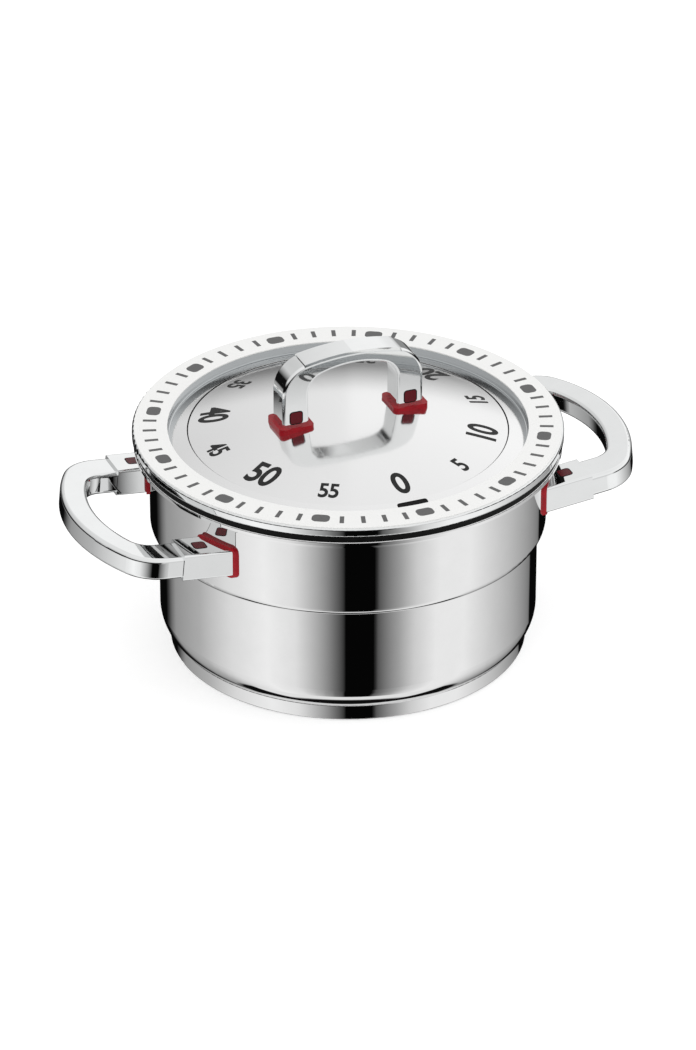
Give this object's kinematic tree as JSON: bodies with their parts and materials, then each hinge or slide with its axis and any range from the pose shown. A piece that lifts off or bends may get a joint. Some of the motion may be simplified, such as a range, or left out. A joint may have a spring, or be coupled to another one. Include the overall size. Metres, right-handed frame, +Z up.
{
  "type": "kitchen timer",
  "caption": "Wind-up kitchen timer shaped like a polished steel cooking pot with two loop handles; its domed lid turns as the minute dial.",
  "frame": {"origin": "centre of the base on the table", "axes": "+Z up along the dial's axis, -Y towards the zero mark and the user, loop handles on +X and -X"},
  "size_m": [0.1114, 0.081, 0.0608],
  "materials": {
    "polished_steel": "mirror polished stainless steel",
    "chrome": "bright chrome plate on cast metal",
    "brushed_dial": "fine satin with a soft reflection",
    "white_face": "satin white",
    "black_seal": "matt black",
    "red_seal": "soft silicone, slightly glossy",
    "red_inlay": "glossy dark red",
    "plain_steel": "as stamped or turned",
    "hub_plastic": "moulded black",
    "brass": "stamped brass"
  },
  "bodies": {
    "pot": {"base_disc": "polished_steel", "base_pad": "black_seal", "lower_cup": "polished_steel", "upper_band": "polished_steel", "gap_seal": "black_seal", "bezel_ring": "chrome", "minute_face": "white_face", "index_flange": "chrome", "left_handle": "chrome", "right_handle": "chrome", "left_front_ferrule": "chrome", "left_front_gasket": "red_seal", "left_front_inlay": "red_inlay", "left_rear_ferrule": "chrome", "left_rear_gasket": "red_seal", "left_rear_inlay": "red_inlay", "right_front_ferrule": "chrome", "right_front_gasket": "red_seal", "right_front_inlay": "red_inlay", "right_rear_ferrule": "chrome", "right_rear_gasket": "red_seal", "right_rear_inlay": "red_inlay", "handle_screws": "plain_steel", "movement_bottom_plate": "plain_steel", "movement_top_plate": "plain_steel", "movement_posts": "plain_steel", "base_screws": "plain_steel", "movement_screws": "plain_steel", "plate_pillars": "plain_steel", "bell": "plain_steel", "bell_post": "plain_steel", "bell_screw": "plain_steel", "mainspring": "plain_steel", "hammer_spring": "plain_steel"},
    "dial": {"dial_dome": "brushed_dial", "dial_hub": "hub_plastic", "lid_handle": "chrome", "lid_handle_cap": "chrome", "lid_handle_inlays": "red_inlay", "lid_handle_screws": "plain_steel", "lid_right_gasket": "red_seal", "lid_left_gasket": "red_seal", "main_arbor": "plain_steel", "great_wheel": "brass", "clutch_spring": "plain_steel", "clutch_collar": "plain_steel", "release_cam": "brass"},
    "second_shaft": {"second_arbor": "plain_steel", "second_wheel": "brass"},
    "third_shaft": {"third_arbor": "plain_steel", "third_wheel": "brass"},
    "escape_shaft": {"escape_arbor": "plain_steel", "escape_wheel": "brass"},
    "balance": {"anchor_arbor": "plain_steel", "anchor": "plain_steel", "balance_bar": "brass"},
    "striker": {"hammer_arbor": "plain_steel", "hammer_arm": "plain_steel", "hammer_tail": "plain_steel", "hammer_head": "brass"}
  },
  "joints": [
    {"name": "dial_turn", "type": "hinge", "parent": "pot", "child": "dial", "pos_m": [0, 0, 0.0435], "axis": [0, 0, 1], "range_deg": [-360, 0], "deforming": ["mainspring"]},
    {"name": "second_turn", "type": "hinge", "parent": "pot", "child": "second_shaft", "pos_m": [0.01776, 0.00646, 0.022], "axis": [0, 0, 1], "range_deg": [0, 2160]},
    {"name": "third_turn", "type": "hinge", "parent": "pot", "child": "third_shaft", "pos_m": [0.01007, 0.016, 0.022], "axis": [0, 0, 1], "range_deg": [-12960, 0]},
    {"name": "escape_turn", "type": "hinge", "parent": "pot", "child": "escape_shaft", "pos_m": [0.00153, 0.01884, 0.022], "axis": [0, 0, 1], "range_deg": [0, 64800]},
    {"name": "balance_swing", "type": "hinge", "parent": "pot", "child": "balance", "pos_m": [-0.00504, 0.01821, 0.027], "axis": [0, 0, 1], "range_deg": [-4, 4]},
    {"name": "hammer_swing", "type": "hinge", "parent": "pot", "child": "striker", "pos_m": [-0.02161, -0.00787, 0.012], "axis": [0, 0, 1], "range_deg": [-12, 1], "stiffness_Nm_per_rad": 0.0002, "deforming": ["hammer_spring"]}
  ],
  "couplings": [
    {"joint": "second_turn", "follows": "dial_turn", "ratio": -6},
    {"joint": "third_turn", "follows": "dial_turn", "ratio": 36},
    {"joint": "escape_turn", "follows": "dial_turn", "ratio": -180}
  ]
}
